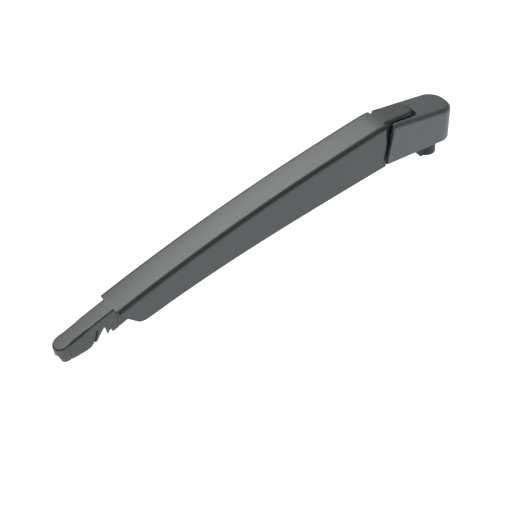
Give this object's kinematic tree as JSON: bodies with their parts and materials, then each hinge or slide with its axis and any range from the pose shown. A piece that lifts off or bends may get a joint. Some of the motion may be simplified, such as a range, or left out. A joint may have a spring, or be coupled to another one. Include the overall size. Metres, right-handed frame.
{
  "type": "rear wiper arm",
  "caption": "Arched moulded wiper arm with a spring-loaded hinge, a hinged cap over the spindle boss and a narrow tongue that takes the blade.",
  "frame": {"origin": "on the spindle axis, in the plane of the hub's seat on the wiper spindle", "axes": "+Z along the spindle away from the vehicle, +X along the arm to the blade end, arm symmetric about the XZ plane"},
  "size_m": [0.3355, 0.0276, 0.0888],
  "materials": {
    "arm_plastic": "satin, fine grain, dark grey",
    "cap_plastic": "satin, fine grain, dark grey",
    "cast_metal": "matt die casting",
    "sleeve_steel": "turned",
    "pin_steel": "ground",
    "spring_steel": "drawn wire",
    "link_steel": "zinc plated strip",
    "bush_plastic": "natural acetal"
  },
  "bodies": {
    "head": {"hub_casting": "cast_metal", "spindle_sleeve": "sleeve_steel", "hinge_pin": "pin_steel", "link_pin": "pin_steel"},
    "arm": {"arm_moulding": "arm_plastic", "hinge_bush_left": "bush_plastic", "hinge_bush_right": "bush_plastic", "spring_pin": "pin_steel", "tension_spring": "spring_steel"},
    "cap": {"spindle_cap": "cap_plastic"},
    "link": {"hook_link": "link_steel"}
  },
  "joints": [
    {"name": "arm_lift", "type": "hinge", "parent": "head", "child": "arm", "pos_m": [0.038, 0, 0.0368], "axis": [0, -1, 0], "range_deg": [0, 50], "stiffness_Nm_per_rad": 0.6, "springref_deg": -143.24, "deforming": ["tension_spring"]},
    {"name": "cap_flip", "type": "hinge", "parent": "head", "child": "cap", "pos_m": [0.038, 0, 0.0368], "axis": [0, 1, 0], "range_deg": [0, 45]},
    {"name": "link_swing", "type": "hinge", "parent": "head", "child": "link", "pos_m": [0.0405, 0, 0.0215], "axis": [0, -1, 0], "range_deg": [0, 48.5]}
  ],
  "couplings": [
    {"joint": "link_swing", "follows": "arm_lift", "ratio": 0.97}
  ]
}
